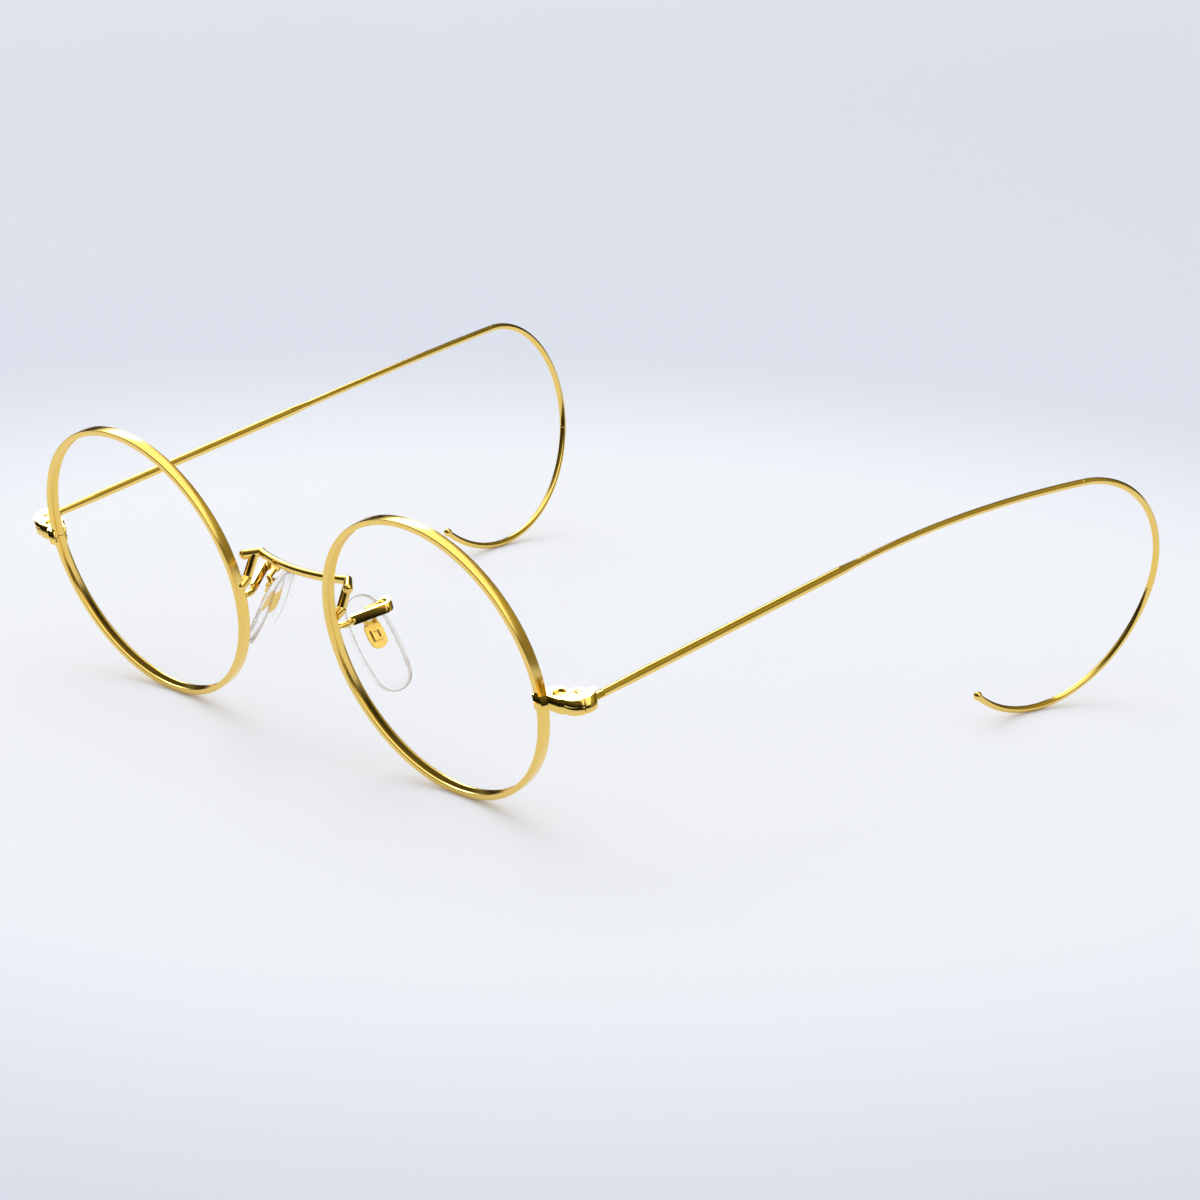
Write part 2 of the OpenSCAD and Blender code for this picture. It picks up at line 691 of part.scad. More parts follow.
module piece(base) {
    if (base == "eyewire") color(gold) eyewire();
    if (base == "block_upper") block_upper();
    if (base == "block_lower") block_lower();
    if (base == "closing_screw") closing_screw();
    if (base == "hinge_screw") hinge_screw();
    if (base == "bridge_post") bridge_post();
    if (base == "pad_arm") pad_arm();
    if (base == "pad_pin") pad_pin();
    if (base == "pad_plate") pad_plate();
    if (base == "nose_pad") nose_pad();
    if (base == "side_joint") side_joint();
    if (base == "side_shaft") side_shaft();
    if (base == "side_curl") side_curl();
}

bridge_bar();
for (side = SIDES) for (base = BASES)
    on_side(side) piece(base);
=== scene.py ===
"""Looks of a round wire spectacle frame: rims, pads, rounded fittings, metal finishes and a pale studio."""
import json
import math

import bpy
from bpy.props import FloatProperty, FloatVectorProperty, IntProperty, PointerProperty
from mathutils import Matrix, Vector


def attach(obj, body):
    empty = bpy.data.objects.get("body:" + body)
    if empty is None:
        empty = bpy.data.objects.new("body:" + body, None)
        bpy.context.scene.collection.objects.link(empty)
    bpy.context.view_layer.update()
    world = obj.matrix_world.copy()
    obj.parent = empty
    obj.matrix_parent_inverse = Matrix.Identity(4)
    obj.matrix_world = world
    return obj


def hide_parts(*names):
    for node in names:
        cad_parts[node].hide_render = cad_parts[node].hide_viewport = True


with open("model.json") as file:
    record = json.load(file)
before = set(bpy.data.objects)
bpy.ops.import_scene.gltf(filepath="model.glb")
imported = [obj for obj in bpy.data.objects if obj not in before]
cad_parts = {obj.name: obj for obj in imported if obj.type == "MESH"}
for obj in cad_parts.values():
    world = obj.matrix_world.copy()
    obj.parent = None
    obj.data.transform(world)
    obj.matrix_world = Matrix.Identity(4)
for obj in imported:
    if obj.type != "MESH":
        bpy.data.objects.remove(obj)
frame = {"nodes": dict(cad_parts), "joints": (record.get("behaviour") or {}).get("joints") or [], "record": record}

bl_info = {
    "name": "Round wire spectacle frame",
    "version": (1, 0, 0),
    "blender": (4, 5, 0),
    "location": "3D View > Sidebar > Spectacles",
    "description": "Dresses the packed spectacle frame and sets its studio",
    "category": "Object",
}

RECORD = frame["record"]
NODES = frame["nodes"]
JOINTS = {joint["name"]: joint for joint in frame["joints"]}
SIDES = ("left", "right")
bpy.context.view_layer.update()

# The lens plane leans forward: its up direction is the hinge axis, its place that of the lens seats
SEAT = next(m for m in RECORD["mounts"] if m["name"] == "lens_seat_left")
LENS_RADIUS = SEAT["dims"]["r_mm"] / 1000
RIM_DEPTH = SEAT["dims"]["length_mm"] / 1000
RIM_X = SEAT["pos_m"][0]
UP = Vector(JOINTS["side_left_fold"]["axis"]).normalized()
BACK = Vector((0, UP.z, -UP.y))
LEAN = math.atan2(-UP.y, UP.z)
SEAT_FRONT = Vector(SEAT["pos_m"]) - BACK * (RIM_DEPTH / 2)
LENS_PLANE = Matrix.Translation((0, SEAT_FRONT.y, SEAT_FRONT.z)) @ Matrix.Rotation(LEAN, 4, "X")

# Vertices closer together than this are one vertex, in metres
SAME_POINT = 0.000001

# Fittings whose sharp CAD edges are rounded: width of the rounding in metres, finish and slot
FITTINGS = {
    "block_upper": (0.00010, "block_gold", "frame_gold"),
    "block_lower": (0.00010, "block_gold", "frame_gold"),
    "side_joint": (0.00010, "block_gold", "frame_gold"),
    "closing_screw": (0.00003, "turned_gold", "screw_gold"),
    "hinge_screw": (0.00003, "turned_gold", "screw_gold"),
    "pad_arm": (0.00007, "arm_gold", "frame_gold"),
    "pad_plate": (0.00003, "plate_gold", "frame_gold"),
}
# Finishes of the CAD nodes by the start of their name; the others wear the fittings' gold
CAD_FINISHES = {
    "nose_pad": "clear_plastic",
    "closing_screw": "turned_gold",
    "hinge_screw": "turned_gold",
    "pad_pin": "turned_gold",
    "side_shaft": "wire_gold",
    "side_curl": "wire_gold",
    "bridge": "wire_gold",
}
# Gold finishes: scale of the clouding and of the hairline marks, and the roughness from low to high. Walls
# may be rolled by a lean and a bulge, and the depth of the marks is in metres.
GOLDS = {
    "wire_gold": {"cloud_scale": 180.0, "mark_scale": 4200.0, "roughness": (0.09, 0.17)},
    "fitting_gold": {"cloud_scale": 260.0, "mark_scale": 5200.0, "roughness": (0.06, 0.13)},
    "block_gold": {"cloud_scale": 260.0, "mark_scale": 5200.0, "roughness": (0.06, 0.13), "rolled": (0.5, 260.0)},
    "arm_gold": {"cloud_scale": 260.0, "mark_scale": 5200.0, "roughness": (0.06, 0.13), "rolled": (0.5, 120.0)},
    "plate_gold": {"cloud_scale": 500.0, "mark_scale": 7000.0, "roughness": (0.3, 0.42)},
    "turned_gold": {"cloud_scale": 500.0, "mark_scale": 7000.0, "roughness": (0.12, 0.24), "mark_depth": 0.000002},
}
# Height of the joint blocks' middle in the lens plane and half their height, in metres
BLOCK_MIDDLE = -0.00065
BLOCK_HALF = 0.00125
# Width of the studio floor in metres
FLOOR_WIDTH = 8


class RimSizes(bpy.types.PropertyGroup):
    """Sizes of the rim wire round a lens"""
    wall: FloatProperty(name="Rim wall", description="Radial thickness of the rim", default=0.00095, unit="LENGTH")
    groove_depth: FloatProperty(name="Groove depth", description="Depth of the lens groove", default=0.00045,
                                unit="LENGTH")
    groove_width: FloatProperty(name="Groove width", description="Width of the lens groove", default=0.0011,
                                unit="LENGTH")
    edge: FloatProperty(name="Rounded edge", description="Rounding of the rim's edges", default=0.00016,
                        unit="LENGTH")
    slit: FloatProperty(name="Slit", description="Gap of the rim at the joint block", default=0.0001, unit="LENGTH")
    slit_drop: FloatProperty(name="Slit drop", description="How far the slit lies below the rim's middle",
                             default=0.00065, unit="LENGTH")
    steps: IntProperty(name="Steps", description="Steps round the rim", default=240)


class PadSizes(bpy.types.PropertyGroup):
    """Sizes of the moulded nose pads"""
    voxel: FloatProperty(name="Mesh size", description="Mesh size of a pad", default=0.00016, unit="LENGTH")
    rounds: IntProperty(name="Rounding", description="Rounding passes over a pad's edges", default=14)


class Finishes(bpy.types.PropertyGroup):
    """Colours of the metal, the pads and the floor, with painted shade along the pads' outline and over the outer
    floor
    """
    gold: FloatVectorProperty(name="Gold", description="Colour of the polished gold", subtype="COLOR", size=3,
                              default=(0.90, 0.60, 0.115))
    gold_pale: FloatVectorProperty(name="Pale gold", description="Colour of the thinner, paler plating",
                                   subtype="COLOR", size=3, default=(0.93, 0.69, 0.23))
    pad: FloatVectorProperty(name="Pad", description="Tint of the clear pads", subtype="COLOR", size=3,
                             default=(0.998, 0.996, 0.99))
    # painted shade: the brownish tint along the pads' outline stands in for the darker edges of clear plastic
    pad_edge_shade: FloatVectorProperty(name="Pad edge", description="Tint of the pads along their outline",
                                  subtype="COLOR", size=3, default=(0.5, 0.4, 0.31))
    floor: FloatVectorProperty(name="Floor", description="Colour of the floor near the object", subtype="COLOR",
                               size=3, default=(0.872, 0.878, 0.905))
    # painted shade: the floor edge and far floor colours darken the floor away from the object, as the light falls
    # off
    floor_edge_shade: FloatVectorProperty(name="Floor edge", description="Colour of the floor round the object",
                                    subtype="COLOR", size=3, default=(0.69, 0.71, 0.78))
    floor_far_shade: FloatVectorProperty(name="Far floor", description="Colour of the floor towards the edges",
                                   subtype="COLOR", size=3, default=(0.66, 0.67, 0.73))


def only(piece):
    """Makes one object the selected and active one, out of edit mode."""
    if bpy.context.mode != "OBJECT":
        bpy.ops.object.mode_set(mode="OBJECT")
    bpy.ops.object.select_all(action="DESELECT")
    piece.select_set(True)
    bpy.context.view_layer.objects.active = piece


def edit(piece, mode="VERT"):
    """Opens a piece for editing with everything selected."""
    only(piece)
    bpy.ops.object.mode_set(mode="EDIT")
    bpy.ops.mesh.select_mode(type=mode)
    bpy.ops.mesh.select_all(action="SELECT")


def pick_vertices(piece, wanted):
    """Selects only the vertices that the test wants."""
    bpy.ops.mesh.select_all(action="DESELECT")
    bpy.ops.object.mode_set(mode="OBJECT")
    for v in piece.data.vertices:
        v.select = bool(wanted(v.co))
    bpy.ops.object.mode_set(mode="EDIT")


def place(piece, matrix):
    """Puts a piece in its place, with the place in its mesh."""
    only(piece)
    piece.matrix_world = matrix
    bpy.ops.object.transform_apply(location=True, rotation=True, scale=True)


def copy_of(piece, name):
    """A copy of a piece or CAD node that has its own mesh and rides on nothing yet."""
    new = bpy.data.objects.new(name, piece.data.copy())
    bpy.context.scene.collection.objects.link(new)
    new.data.name = name
    for key in list(new.keys()):
        del new[key]
    return new


def apply_modifiers(piece):
    """Applies a piece's modifiers in their order."""
    only(piece)
    for modifier in list(piece.modifiers):
        bpy.ops.object.modifier_apply(modifier=modifier.name)


def finish_piece(piece, body, nodes, material):
    """Gives a piece its material and its body, and hides the CAD nodes that it stands for."""
    piece.data.materials.clear()
    piece.data.materials.append(material)
    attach(piece, body)
    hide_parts(*nodes)


def body_of_side(base, side):
    """The body that a node of a side rides on."""
    if base in ("side_joint", "side_shaft", "side_curl"):
        return "side_" + side
    if base in ("pad_plate", "nose_pad"):
        return "pad_" + side
    return "front"


def pad_normal(side):
    """The direction that a pad's broad faces look in: square to its pin and to its length."""
    pin = Vector(JOINTS[f"pad_{side}_rock"]["axis"]).normalized()
    pad = NODES["nose_pad_" + side]
    points = [pad.matrix_world @ v.co for v in pad.data.vertices]
    middle = sum(points, Vector()) / len(points)
    reach = max((p - middle for p in points), key=lambda v: v.length)
    along = (reach - pin * reach.dot(pin)).normalized()
    return pin.cross(along)


def group_with(name, inputs, outputs):
    """An empty shader node group with named inputs and outputs."""
    group = bpy.data.node_groups.new(name, "ShaderNodeTree")
    for label, kind, value in inputs:
        socket = group.interface.new_socket(name=label, in_out="INPUT", socket_type=kind)
        if value is not None:
            socket.default_value = value
    for label, kind in outputs:
        group.interface.new_socket(name=label, in_out="OUTPUT", socket_type=kind)
    start = group.nodes.new("NodeGroupInput")
    end = group.nodes.new("NodeGroupOutput")
    return group, start, end


def feed(tree, socket, value):
    """Sets a socket to a number or links it to another node's output."""
    if isinstance(value, (int, float)):
        socket.default_value = value
    else:
        tree.links.new(value, socket)


def add_math(tree, operation, *values):
    """The result of a math node on numbers or other nodes' outputs."""
    node = tree.nodes.new("ShaderNodeMath")
    node.operation = operation
    for socket, value in zip(node.inputs, values):
        feed(tree, socket, value)
    return node.outputs[0]


def product(tree, first, *others):
    """Several values multiplied together."""
    for other in others:
        first = add_math(tree, "MULTIPLY", first, other)
    return first


def rise(tree, value, start, end, low=0.0, high=1.0):
    """A value's smooth passage from low at its start to high at its end."""
    node = tree.nodes.new("ShaderNodeMapRange")
    node.interpolation_type = "SMOOTHSTEP"
    for label, number in (("From Min", start), ("From Max", end), ("To Min", low), ("To Max", high)):
        node.inputs[label].default_value = number
    tree.links.new(value, node.inputs["Value"])
    return node.outputs["Result"]


def noise(tree, vector, scale, detail):
    """The grey value of a noise texture over a vector."""
    node = tree.nodes.new("ShaderNodeTexNoise")
    node.inputs["Detail"].default_value = detail
    feed(tree, node.inputs["Scale"], scale)
    tree.links.new(vector, node.inputs["Vector"])
    return node.outputs["Fac"]


def bumped(tree, height, strength, distance, normal=None):
    """A normal tilted by a height, on top of another normal where one is given."""
    node = tree.nodes.new("ShaderNodeBump")
    node.inputs["Strength"].default_value = strength
    node.inputs["Distance"].default_value = distance
    tree.links.new(height, node.inputs["Height"])
    if normal:
        tree.links.new(normal, node.inputs["Normal"])
    return node.outputs["Normal"]


def object_coordinates(tree):
    """Object coordinates in metres."""
    return tree.nodes.new("ShaderNodeTexCoord").outputs["Object"]


def handled_metal_group():
    """Faint clouding of the plating and fine hairline marks, as a colour mix, a roughness and a height."""
    group, start, end = group_with(
        "handled_metal",
        [("Vector", "NodeSocketVector", None), ("Cloud Scale", "NodeSocketFloat", 220.0),
         ("Mark Scale", "NodeSocketFloat", 5200.0), ("Roughness Low", "NodeSocketFloat", 0.1),
         ("Roughness High", "NodeSocketFloat", 0.2)],
        [("Cloud", "NodeSocketFloat"), ("Roughness", "NodeSocketFloat"), ("Height", "NodeSocketFloat")])
    links = group.links
    cloud = noise(group, start.outputs["Vector"], start.outputs["Cloud Scale"], 3)
    marks = noise(group, start.outputs["Vector"], start.outputs["Mark Scale"], 2)
    span = group.nodes.new("ShaderNodeMapRange")
    links.new(cloud, span.inputs["Value"])
    span.inputs["From Min"].default_value = 0.3
    span.inputs["From Max"].default_value = 0.7
    links.new(start.outputs["Roughness Low"], span.inputs["To Min"])
    links.new(start.outputs["Roughness High"], span.inputs["To Max"])
    links.new(cloud, end.inputs["Cloud"])
    links.new(span.outputs["Result"], end.inputs["Roughness"])
    links.new(marks, end.inputs["Height"])
    return group


def drawn_lines_group():
    """Lines that a drawing die leaves along a rim: they depend on the place across the wire and hardly on
    the place along it. Distances are measured from the middle of a lens."""
    group, start, end = group_with(
        "drawn_lines",
        [("Vector", "NodeSocketVector", None), ("Line Scale", "NodeSocketFloat", 9000.0)],
        [("Lines", "NodeSocketFloat"), ("Bands", "NodeSocketFloat")])
    links = group.links
    parts = group.nodes.new("ShaderNodeSeparateXYZ")
    links.new(start.outputs["Vector"], parts.inputs["Vector"])
    x, y, z = parts.outputs
    squares = add_math(group, "ADD", product(group, x, x), product(group, z, z))
    radius = add_math(group, "SQRT", squares)
    # a turn round the lens counts as less than a millimetre, so the lines run long
    metres_per_radian = 0.00012
    along = product(group, add_math(group, "ARCTAN2", z, x), metres_per_radian)
    across = group.nodes.new("ShaderNodeCombineXYZ")
    for socket, value in zip(across.inputs, (radius, y, along)):
        links.new(value, socket)
    lines = noise(group, across.outputs["Vector"], start.outputs["Line Scale"], 2)
    bands = noise(group, across.outputs["Vector"], 2600, 1)
    links.new(lines, end.inputs["Lines"])
    links.new(bands, end.inputs["Bands"])
    return group


def rolled_wall_group():
    """Height of a wall that is rolled slightly convex between the top and bottom of a joint block. The
    vector is given in the lens plane, in metres."""
    group, start, end = group_with(
        "rolled_wall",
        [("Vector", "NodeSocketVector", None), ("Lean", "NodeSocketFloat", 0.3), ("Bulge", "NodeSocketFloat", 260.0)],
        [("Height", "NodeSocketFloat")])
    parts = group.nodes.new("ShaderNodeSeparateXYZ")
    group.links.new(start.outputs["Vector"], parts.inputs["Vector"])
    level = add_math(group, "SUBTRACT", parts.outputs["Z"], BLOCK_MIDDLE)
    level = add_math(group, "MAXIMUM", add_math(group, "MINIMUM", level, BLOCK_HALF), -BLOCK_HALF)
    leaning = product(group, level, start.outputs["Lean"])
    bulging = product(group, product(group, level, level), start.outputs["Bulge"])
    sunk = add_math(group, "ADD", leaning, bulging)
    group.links.new(product(group, sunk, -1.0), end.inputs["Height"])
    return group


def in_lens_plane(tree, side_x=0.0):
    """Object coordinates turned into the lens plane, measured from a point on it."""
    middle = tree.nodes.new("ShaderNodeMapping")
    middle.vector_type = "TEXTURE"
    middle.inputs["Location"].default_value = (side_x, SEAT_FRONT.y, SEAT_FRONT.z)
    middle.inputs["Rotation"].default_value = (LEAN, 0, 0)
    tree.links.new(object_coordinates(tree), middle.inputs["Vector"])
    return middle.outputs["Vector"]


def group_node(tree, name, vector, **values):
    """A node that runs a shared group over a vector, with some of its values set."""
    node = tree.nodes.new("ShaderNodeGroup")
    node.node_tree = bpy.data.node_groups[name]
    tree.links.new(vector, node.inputs["Vector"])
    for label, value in values.items():
        node.inputs[label.replace("_", " ")].default_value = value
    return node


def colour_mix(tree, factor, low, high):
    """A mix node's output between two colours."""
    mix = tree.nodes.new("ShaderNodeMix")
    mix.data_type = "RGBA"
    tree.links.new(factor, mix.inputs["Factor"])
    mix.inputs["A"].default_value = (*low, 1)
    mix.inputs["B"].default_value = (*high, 1)
    return mix.outputs["Result"]


def new_material(name):
    """A new node material with its tree and its shader."""
    material = bpy.data.materials.new(name)
    material.use_nodes = True
    tree = material.node_tree
    return material, tree, tree.nodes["Principled BSDF"]


def plated(name, vector_of, cloud_scale, mark_scale, roughness):
    """A new gold material with the shared clouding and roughness."""
    material, tree, shader = new_material(name)
    shader.inputs["Metallic"].default_value = 1.0
    vector = vector_of(tree)
    metal = group_node(tree, "handled_metal", vector, Cloud_Scale=cloud_scale, Mark_Scale=mark_scale,
                       Roughness_Low=roughness[0], Roughness_High=roughness[1])
    tree.links.new(metal.outputs["Roughness"], shader.inputs["Roughness"])
    return tree, shader, vector, metal


def colour_gold(tree, shader, factor):
    """Mixes the two golds into the shader's colour."""
    finish = bpy.context.scene.finishes
    tree.links.new(colour_mix(tree, factor, finish.gold, finish.gold_pale), shader.inputs["Base Color"])


def gold_material(name, cloud_scale, mark_scale, roughness, mark_depth=0.000001, rolled=None):
    """Polished gold plating with faint clouding and hairline marks, on walls that may be rolled convex."""
    tree, shader, _, metal = plated(name, object_coordinates, cloud_scale, mark_scale, roughness)
    colour_gold(tree, shader, metal.outputs["Cloud"])
    wall = None
    if rolled:
        height = group_node(tree, "rolled_wall", in_lens_plane(tree), Lean=rolled[0], Bulge=rolled[1])
        wall = bumped(tree, height.outputs["Height"], 1.0, 1.0)
    tree.links.new(bumped(tree, metal.outputs["Height"], 0.35, mark_depth, wall), shader.inputs["Normal"])


def rim_material(side):
    """Gold rim wire with fine lines along it, centred on the lens of one side."""
    lens_x = RIM_X if side == "left" else -RIM_X
    tree, shader, vector, _ = plated("rim_gold_" + side, lambda tree: in_lens_plane(tree, lens_x),
                                     160.0, 5200.0, (0.13, 0.22))
    drawn = group_node(tree, "drawn_lines", vector)
    colour_gold(tree, shader, drawn.outputs["Bands"])
    tree.links.new(bumped(tree, drawn.outputs["Lines"], 0.5, 0.000004), shader.inputs["Normal"])


def pad_material():
    """Clear moulded plastic with a faint haze, and painted shade: a brownish tint where the mesh marks a rounded
    edge.
    """
    finish = bpy.context.scene.finishes
    _, tree, shader = new_material("clear_plastic")
    shader.inputs["Transmission Weight"].default_value = 1.0
    shader.inputs["IOR"].default_value = 1.12
    haze = noise(tree, object_coordinates(tree), 420, 2)
    haze_shade = 0.985
    clear = colour_mix(tree, haze, finish.pad, tuple(haze_shade * c for c in finish.pad))
    # painted shade along the pad's outline, tinted brown where the edge attribute marks a rounded edge
    edge = tree.nodes.new("ShaderNodeAttribute")
    edge.attribute_name = "edge"
    outline_shade = colour_mix(tree, edge.outputs["Fac"], finish.pad, finish.pad_edge_shade)
    tree.links.new(clear, outline_shade.node.inputs["A"])
    tree.links.new(outline_shade, shader.inputs["Base Color"])
    haze_roughness = 0.02
    tree.links.new(product(tree, haze, haze_roughness), shader.inputs["Roughness"])


def floor_material():
    """Pale paper floor with painted shade: it grows a little bluer and darker away from the object, as the light
    falls off.
    """
    finish = bpy.context.scene.finishes
    material, tree, shader = new_material("studio_floor")
    shader.inputs["Roughness"].default_value = 0.85
    shader.inputs["Specular IOR Level"].default_value = 0.15
    distance = tree.nodes.new("ShaderNodeVectorMath")
    distance.operation = "LENGTH"
    tree.links.new(object_coordinates(tree), distance.inputs[0])
    # metres from the middle between which each darker colour of painted shade comes in
    edge_shade_fade = rise(tree, distance.outputs["Value"], 0.12, 0.24)
    far_shade_fade = rise(tree, distance.outputs["Value"], 0.2, 0.65)
    near = colour_mix(tree, edge_shade_fade, finish.floor, finish.floor_edge_shade)
    whole = colour_mix(tree, far_shade_fade, finish.floor, finish.floor_far_shade)
    tree.links.new(near, whole.node.inputs["A"])
    tree.links.new(whole, shader.inputs["Base Color"])
    return material


class SPECTACLES_OT_finishes(bpy.types.Operator):
    """Builds the shared finishes and gives every CAD node its material"""
    bl_idname = "spectacles.finishes"
    bl_label = "Finishes"

    def execute(self, context):
        handled_metal_group()
        drawn_lines_group()
        rolled_wall_group()
        for name, values in GOLDS.items():
            gold_material(name, **values)
        pad_material()
        for side in SIDES:
            rim_material(side)
        for name, node in NODES.items():
            finish = next((f for start, f in CAD_FINISHES.items() if name.startswith(start)), "fitting_gold")
            node.data.materials.clear()
            node.data.materials.append(bpy.data.materials[finish])
        return {"FINISHED"}


class SPECTACLES_OT_rims(bpy.types.Operator):
    """Spins the two rims from a rounded section with the lens groove on its inside"""
    bl_idname = "spectacles.rims"
    bl_label = "Rims"

    def execute(self, context):
        sizes = context.scene.rim_sizes
        bpy.ops.object.select_all(action="DESELECT")
        middle_x = RIM_X + LENS_RADIUS + sizes.wall / 2
        bpy.ops.mesh.primitive_plane_add(size=1, location=(middle_x, RIM_DEPTH / 2, 0))
        rim = context.active_object
        rim.name = "rim_left"
        rim.scale = (sizes.wall, RIM_DEPTH, 1)
        bpy.ops.object.transform_apply(location=True, rotation=True, scale=True)
        edit(rim)
        bpy.ops.mesh.bevel(offset=sizes.edge, segments=3, affect="VERTICES")
        self.cut_groove(rim, sizes)
        edit(rim, "FACE")
        bpy.ops.mesh.delete(type="ONLY_FACE")
        edit(rim)
        slit_angle = sizes.slit / (LENS_RADIUS + sizes.wall)
        bpy.ops.mesh.spin(steps=sizes.steps, angle=2 * math.pi - slit_angle, center=(RIM_X, 0, 0),
                          axis=(0, 1, 0), use_auto_merge=False)
        bpy.ops.mesh.select_all(action="SELECT")
        bpy.ops.mesh.remove_doubles(threshold=SAME_POINT)
        bpy.ops.mesh.fill_holes(sides=0)
        bpy.ops.mesh.select_all(action="SELECT")
        bpy.ops.mesh.normals_make_consistent(inside=False)
        bpy.ops.object.mode_set(mode="OBJECT")
        bpy.ops.object.shade_smooth_by_angle(angle=math.radians(35))
        # the slit starts below the middle and the spin runs downwards from there
        to_slit = math.asin(sizes.slit_drop / (LENS_RADIUS + sizes.wall)) + slit_angle / 2
        centre = Matrix.Translation((RIM_X, 0, 0))
        place(rim, LENS_PLANE @ centre @ Matrix.Rotation(to_slit, 4, "Y") @ centre.inverted())
        other = copy_of(rim, "rim_right")
        place(other, Matrix.Scale(-1, 4, Vector((1, 0, 0))))
        edit(other)
        bpy.ops.mesh.normals_make_consistent(inside=False)
        bpy.ops.object.mode_set(mode="OBJECT")
        for side, piece in zip(SIDES, (rim, other)):
            if len(piece.data.polygons) < 10 * sizes.steps:
                raise RuntimeError("the rim section was not spun")
            finish_piece(piece, "front", ["eyewire_" + side], bpy.data.materials["rim_gold_" + side])
        return {"FINISHED"}

    def cut_groove(self, rim, sizes):
        """Presses a V groove into the section's inner edge."""
        inner = RIM_X + LENS_RADIUS
        near = 0.00001
        pick_vertices(rim, lambda co: abs(co.x - inner) < near)
        bpy.ops.mesh.select_mode(type="EDGE")
        bpy.ops.mesh.subdivide(number_cuts=3)
        bpy.ops.mesh.select_mode(type="VERT")
        quarter = (RIM_DEPTH - 2 * sizes.edge) / 4
        middle = RIM_DEPTH / 2
        pick_vertices(rim, lambda co: abs(co.x - inner) < near and abs(abs(co.y - middle) - quarter) < near)
        bpy.ops.transform.resize(value=(1, sizes.groove_width / 2 / quarter, 1), center_override=(inner, middle, 0))
        pick_vertices(rim, lambda co: abs(co.x - inner) < near and abs(co.y - middle) < near)
        bpy.ops.transform.translate(value=(sizes.groove_depth, 0, 0))


class SPECTACLES_OT_pads(bpy.types.Operator):
    """Moulds the clear nose pads with soft edges over their CAD shapes"""
    bl_idname = "spectacles.pads"
    bl_label = "Nose pads"

    def execute(self, context):
        sizes = context.scene.pad_sizes
        for side in SIDES:
            pad = copy_of(NODES["nose_pad_" + side], "moulded_pad_" + side)
            edit(pad)
            bpy.ops.mesh.remove_doubles(threshold=SAME_POINT)
            bpy.ops.object.mode_set(mode="OBJECT")
            remesh = pad.modifiers.new("grain", "REMESH")
            remesh.mode = "VOXEL"
            remesh.voxel_size = sizes.voxel
            smooth = pad.modifiers.new("soften", "SMOOTH")
            smooth.factor = 0.5
            smooth.iterations = sizes.rounds
            apply_modifiers(pad)
            if len(pad.data.polygons) < 1000:
                raise RuntimeError("the pad was not remeshed")
            bpy.ops.object.shade_smooth()
            self.mark_shaded_edge(pad, side)
            finish_piece(pad, "pad_" + side, ["nose_pad_" + side], bpy.data.materials["clear_plastic"])
        return {"FINISHED"}

    def mark_shaded_edge(self, pad, side):
        """Marks the rounded edges between a pad's broad faces and its side wall, where the pad material paints shade.
        """
        broad = pad_normal(side)
        edge = pad.data.attributes.new("edge", "FLOAT", "POINT")
        for point in pad.data.vertices:
            # 0 on a broad face and 1 on the side wall
            turned = 1 - abs(point.normal.dot(broad))
            edge.data[point.index].value = max(0.0, min(1.0, (turned - 0.06) / 0.1, (0.95 - turned) / 0.2))


class SPECTACLES_OT_fittings(bpy.types.Operator):
    """Rounds the edges of the joint blocks, hinge halves, screws, pad arms and plates"""
    bl_idname = "spectacles.fittings"
    bl_label = "Fittings"

    def execute(self, context):
        for base, (width, finish, slot) in FITTINGS.items():
            for side in SIDES:
                node = f"{base}_{side}"
                piece = copy_of(NODES[node], "rounded_" + node)
                edit(piece)
                bpy.ops.mesh.remove_doubles(threshold=SAME_POINT)
                bpy.ops.mesh.dissolve_limited(angle_limit=math.radians(1))
                bpy.ops.object.mode_set(mode="OBJECT")
                bevel = piece.modifiers.new("edges", "BEVEL")
                bevel.width = width
                bevel.segments = 3
                bevel.limit_method = "ANGLE"
                bevel.angle_limit = math.radians(30)
                bevel.use_clamp_overlap = True
                apply_modifiers(piece)
                bpy.ops.object.shade_smooth_by_angle(angle=math.radians(40))
                flats = piece.modifiers.new("flats", "WEIGHTED_NORMAL")
                flats.keep_sharp = True
                apply_modifiers(piece)
                finish_piece(piece, body_of_side(base, side), [node], bpy.data.materials[finish])
        return {"FINISHED"}


